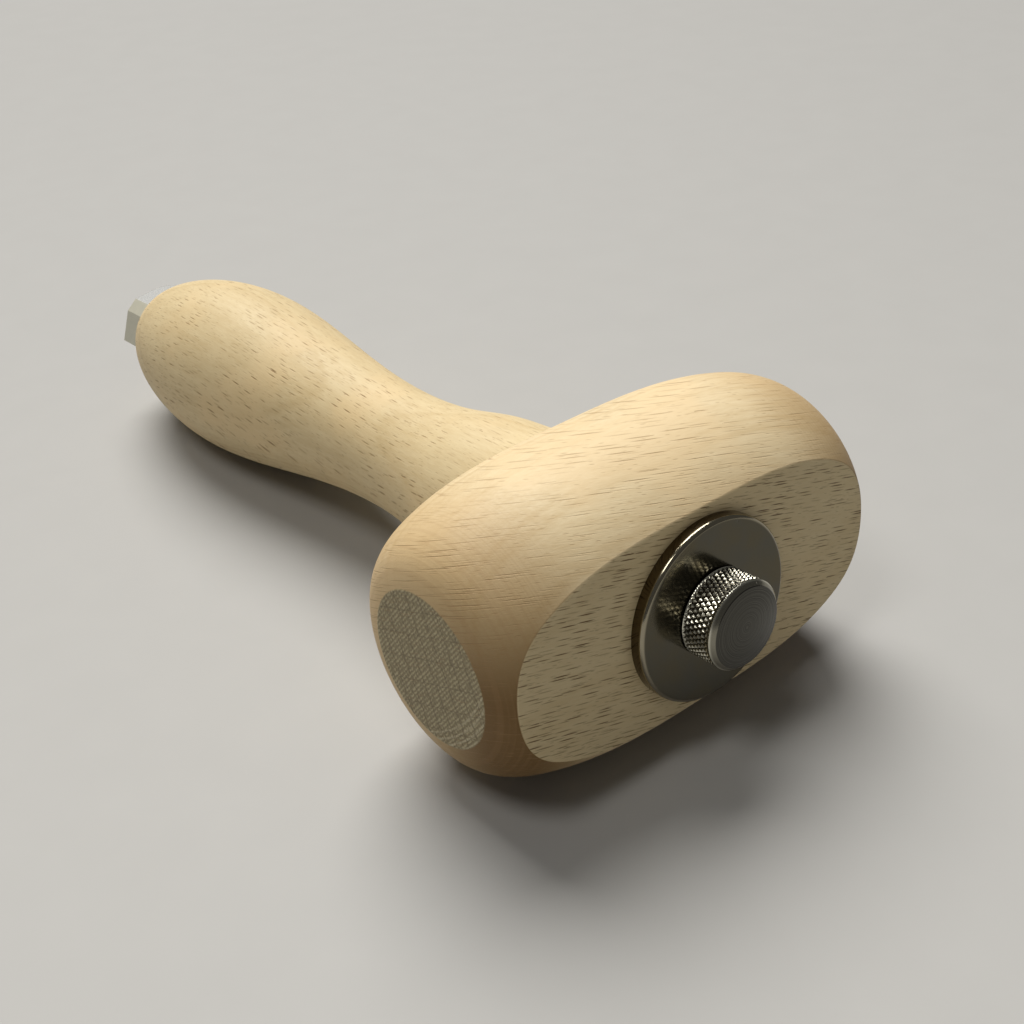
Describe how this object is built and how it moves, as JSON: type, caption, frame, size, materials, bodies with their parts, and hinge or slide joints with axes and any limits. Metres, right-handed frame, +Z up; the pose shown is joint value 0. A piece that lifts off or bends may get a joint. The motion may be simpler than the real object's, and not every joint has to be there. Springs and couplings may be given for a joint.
{
  "type": "leathercraft mallet",
  "caption": "Wooden T mallet for leather punches: flat-sided barrel head clamped to a turned handle by a washer and a knurled thumb nut.",
  "frame": {"origin": "on the surface the mallet lies on, under the centre of its box", "axes": "+Z up, +X along the head to the right striking face, +Y from the thumb nut towards the handle's butt; the handle drops 3.430 degrees towards its butt, because barrel and swell both rest on the surface"},
  "size_m": [0.1026, 0.2396, 0.0644],
  "materials": {
    "beech": "sanded bare beech with short dark flecks along the grain",
    "nickel_plate": "bright turned steel with dark nickel plating",
    "zinc_steel": "zinc plated steel thread",
    "clear_film": "clear plastic film, slightly milky"
  },
  "bodies": {
    "handle": {"handle": "beech", "stud": "zinc_steel", "butt_film": "clear_film"},
    "head": {"head": "beech"},
    "washer": {"washer": "nickel_plate"},
    "thumb_nut": {"thumb_nut": "nickel_plate"}
  },
  "joints": [
    {"name": "head_slide", "type": "slide", "parent": "handle", "child": "head", "axis": [0, -0.9982, 0.0598], "range_m": [0, 0.0566]},
    {"name": "washer_slide", "type": "slide", "parent": "head", "child": "washer", "axis": [0, -0.9982, 0.0598], "range_m": [0, 0.0075]},
    {"name": "nut_turn", "type": "hinge", "parent": "washer", "child": "thumb_nut", "pos_m": [0, -0.1108, 0.03378], "axis": [0, -0.9982, 0.0598], "range_deg": [0, 1800]}
  ],
  "couplings": [
    {"joint": "nut_turn", "follows": "washer_slide", "rad_per_m": 4188.8}
  ]
}
